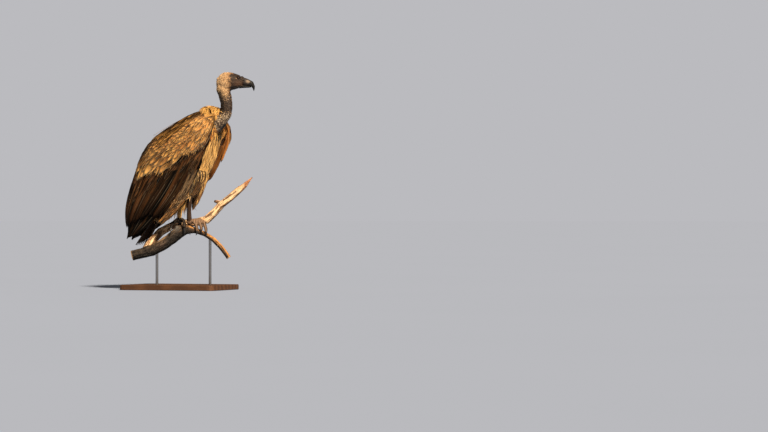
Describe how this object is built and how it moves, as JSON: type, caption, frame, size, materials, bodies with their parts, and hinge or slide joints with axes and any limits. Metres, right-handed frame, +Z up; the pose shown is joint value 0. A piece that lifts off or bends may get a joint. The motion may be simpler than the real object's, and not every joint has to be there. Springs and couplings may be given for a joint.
{
  "type": "white-backed vulture on perch",
  "caption": "Life-size white-backed vulture with folded wings, gripping a cut length of dead branch on a plain flat stand; a still display model.",
  "frame": {"origin": "centre of the stand base's flat underside, which rests on the floor", "axes": "+Z up; +X the way the bird's body faces; +Y to the bird's left. The head and the perch are turned 20 degrees from +X towards +Y"},
  "size_m": [0.5696, 0.3, 0.9234],
  "materials": {
    "head_skin": "bare dark grey-brown skin, buff down behind",
    "neck_skin": "dark skin under thin pale down",
    "bill_horn": "dull blackish horn",
    "eye": "wet dark brown",
    "ruff_plumage": "loose golden feathers",
    "body_plumage": "long straw-coloured feathers",
    "covert_plumage": "ochre-brown feathers",
    "flight_plumage": "dark brown to black feathers",
    "tail_plumage": "blackish feathers",
    "leg_plumage": "pale shaggy down",
    "foot_skin": "scaled grey-brown skin",
    "claw_horn": "dull black horn",
    "bark": "weathered bark",
    "bleached_wood": "bare bleached wood",
    "base_wood": "dark stained wood, satin",
    "rod_steel": "brushed steel"
  },
  "bodies": {
    "root": {"bill_lower": "bill_horn", "bill_upper": "bill_horn", "claw_left_hind": "claw_horn", "claw_left_inner": "claw_horn", "claw_left_middle": "claw_horn", "claw_left_outer": "claw_horn", "claw_right_hind": "claw_horn", "claw_right_inner": "claw_horn", "claw_right_middle": "claw_horn", "claw_right_outer": "claw_horn", "eye_left": "eye", "eye_right": "eye", "foot_left": "foot_skin", "foot_right": "foot_skin", "head": "head_skin", "neck_lower": "neck_skin", "neck_upper": "neck_skin", "perch_branch": "bark", "perch_limb": "bleached_wood", "ruff": "ruff_plumage", "stand_base": "base_wood", "stand_rod_front": "rod_steel", "stand_rod_rear": "rod_steel", "tail": "tail_plumage", "tarsus_left": "foot_skin", "tarsus_right": "foot_skin", "thigh_left": "leg_plumage", "thigh_right": "leg_plumage", "toe_left_hind": "foot_skin", "toe_left_inner": "foot_skin", "toe_left_middle": "foot_skin", "toe_left_outer": "foot_skin", "toe_right_hind": "foot_skin", "toe_right_inner": "foot_skin", "toe_right_middle": "foot_skin", "toe_right_outer": "foot_skin", "trunk": "body_plumage", "wing_left_coverts": "covert_plumage", "wing_left_primaries": "flight_plumage", "wing_left_secondaries": "flight_plumage", "wing_right_coverts": "covert_plumage", "wing_right_primaries": "flight_plumage", "wing_right_secondaries": "flight_plumage"}
  },
  "joints": []
}
